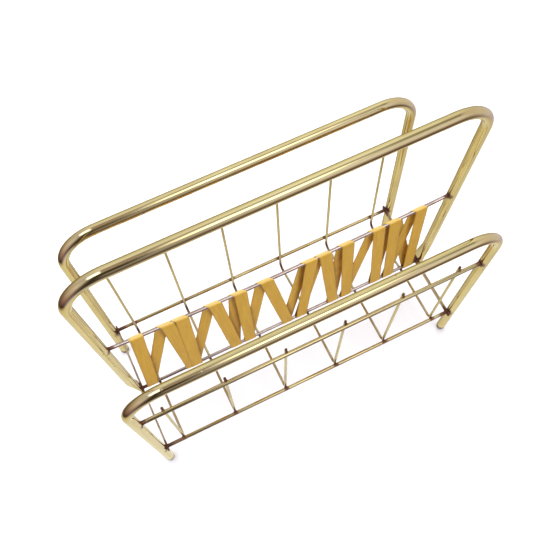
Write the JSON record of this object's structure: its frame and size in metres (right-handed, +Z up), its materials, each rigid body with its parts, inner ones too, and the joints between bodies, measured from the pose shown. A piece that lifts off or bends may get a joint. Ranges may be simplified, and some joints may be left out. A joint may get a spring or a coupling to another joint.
{
  "type": "magazine rack",
  "caption": "Free-standing magazine rack: low side hoops and a taller handle hoop of bent brass tube, wire basket pockets, and a divider wound with a flat cane band.",
  "frame": {"origin": "on the floor, under the middle of the rack", "axes": "+Z up, +X along the rack's length to the right, -Y towards the front"},
  "size_m": [0.436, 0.1978, 0.4687],
  "materials": {
    "brass_tube": "polished and aged, tarnished brown beside the joints",
    "brass_wire": "drawn wire, aged, tarnished brown at the joints",
    "divider_wire": "worn plating, greyer than the other wires",
    "side_strip": "tarnished flat bar",
    "foot_plug": "dull and scuffed",
    "cane": "flat ochre cane, satin, fine lengthwise grain"
  },
  "bodies": {
    "root": {"front_hoop": "brass_tube", "rear_hoop": "brass_tube", "handle_hoop": "brass_tube", "front_upper_wire": "brass_wire", "front_lower_wire": "brass_wire", "rear_upper_wire": "brass_wire", "rear_lower_wire": "brass_wire", "basket_wire_1": "brass_wire", "basket_wire_2": "brass_wire", "basket_wire_3": "brass_wire", "basket_wire_4": "brass_wire", "basket_wire_5": "brass_wire", "basket_wire_6": "brass_wire", "divider_upper_wire": "divider_wire", "divider_lower_wire": "divider_wire", "left_side_strip": "side_strip", "right_side_strip": "side_strip", "foot_plug_front_left": "foot_plug", "foot_plug_front_right": "foot_plug", "foot_plug_rear_left": "foot_plug", "foot_plug_rear_right": "foot_plug", "cane_band": "cane"}
  },
  "joints": []
}
